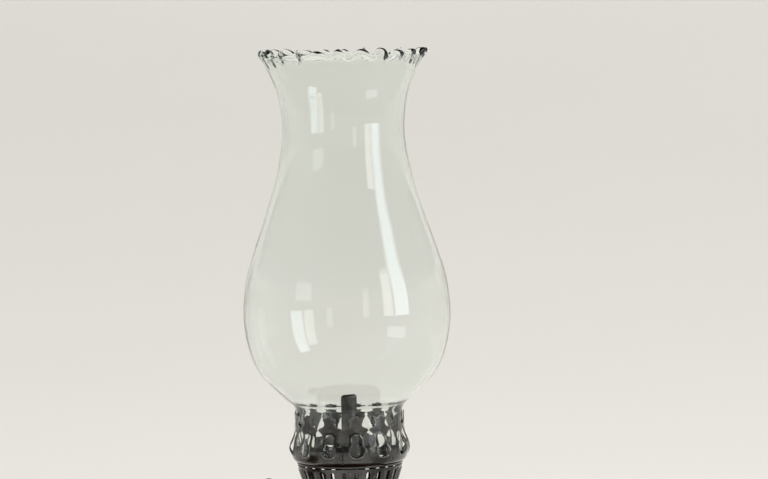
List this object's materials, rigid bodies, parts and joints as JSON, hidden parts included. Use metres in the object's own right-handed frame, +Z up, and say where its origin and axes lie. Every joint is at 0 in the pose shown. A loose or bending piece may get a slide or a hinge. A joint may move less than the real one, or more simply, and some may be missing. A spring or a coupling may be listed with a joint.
{
  "type": "oil lamp",
  "caption": "Flat-wick oil lamp with a clear crimp-top glass chimney, a fretted gallery burner, a side wick knob and a spun metal font on a pedestal foot.",
  "frame": {"origin": "centre of the felt pad's underside, on the lamp's axis", "axes": "+Z up along the chimney's axis; the wick knob points to -X, turned 20 degrees towards -Y, which is the viewer's side"},
  "size_m": [0.1356, 0.1356, 0.4704],
  "materials": {
    "clear_glass": "clear, fire-polished, with a faint grey-green tint",
    "smoked_brass": "stamped brass, darkened to pewter grey by age and smoke",
    "worn_brass": "bare brass, handled and dull",
    "cotton_wick": "flat woven cotton",
    "aged_bronze": "spun brass with a brown bronze patina",
    "cast_iron": "rough casting",
    "plain_steel": "plain turned steel",
    "green_felt": "pressed wool felt"
  },
  "bodies": {
    "lamp_base": {"felt_pad": "green_felt", "foot": "aged_bronze", "foot_ballast": "cast_iron", "tie_rod": "plain_steel", "tie_washer": "plain_steel", "tie_nut": "plain_steel", "stem": "aged_bronze", "font_lower": "aged_bronze", "font_upper": "aged_bronze", "font_seam_band": "aged_bronze", "font_collar": "aged_bronze"},
    "burner": {"burner_base": "smoked_brass", "air_basket": "smoked_brass", "gallery_bead": "smoked_brass", "floor_plate": "smoked_brass", "gallery_crown": "smoked_brass", "wick_tube": "smoked_brass", "deflector": "smoked_brass", "wheel_housing": "smoked_brass", "shaft_bush": "worn_brass"},
    "chimney_glass": {"chimney": "clear_glass"},
    "wick_raiser": {"wick_shaft": "worn_brass", "spur_wheel_1": "worn_brass", "spur_wheel_2": "worn_brass", "wick_knob": "worn_brass", "knob_hub_inner": "worn_brass", "knob_hub_outer": "worn_brass"},
    "wick_tape": {"wick": "cotton_wick"}
  },
  "joints": [
    {"name": "burner_lift", "type": "slide", "parent": "lamp_base", "child": "burner", "axis": [0, 0, 1], "range_m": [0, 0.08]},
    {"name": "chimney_lift", "type": "slide", "parent": "burner", "child": "chimney_glass", "axis": [0, 0, 1], "range_m": [0, 0.06]},
    {"name": "knob_turn", "type": "hinge", "parent": "burner", "child": "wick_raiser", "pos_m": [0.00168, -0.0046, 0.1942], "axis": [0.9397, 0.342, 0], "range_deg": [-90, 155]},
    {"name": "wick_slide", "type": "slide", "parent": "burner", "child": "wick_tape", "axis": [0, 0, 1], "range_m": [-0.006, 0.01]}
  ],
  "couplings": [
    {"joint": "wick_slide", "follows": "knob_turn", "m_per_rad": 0.0036}
  ]
}
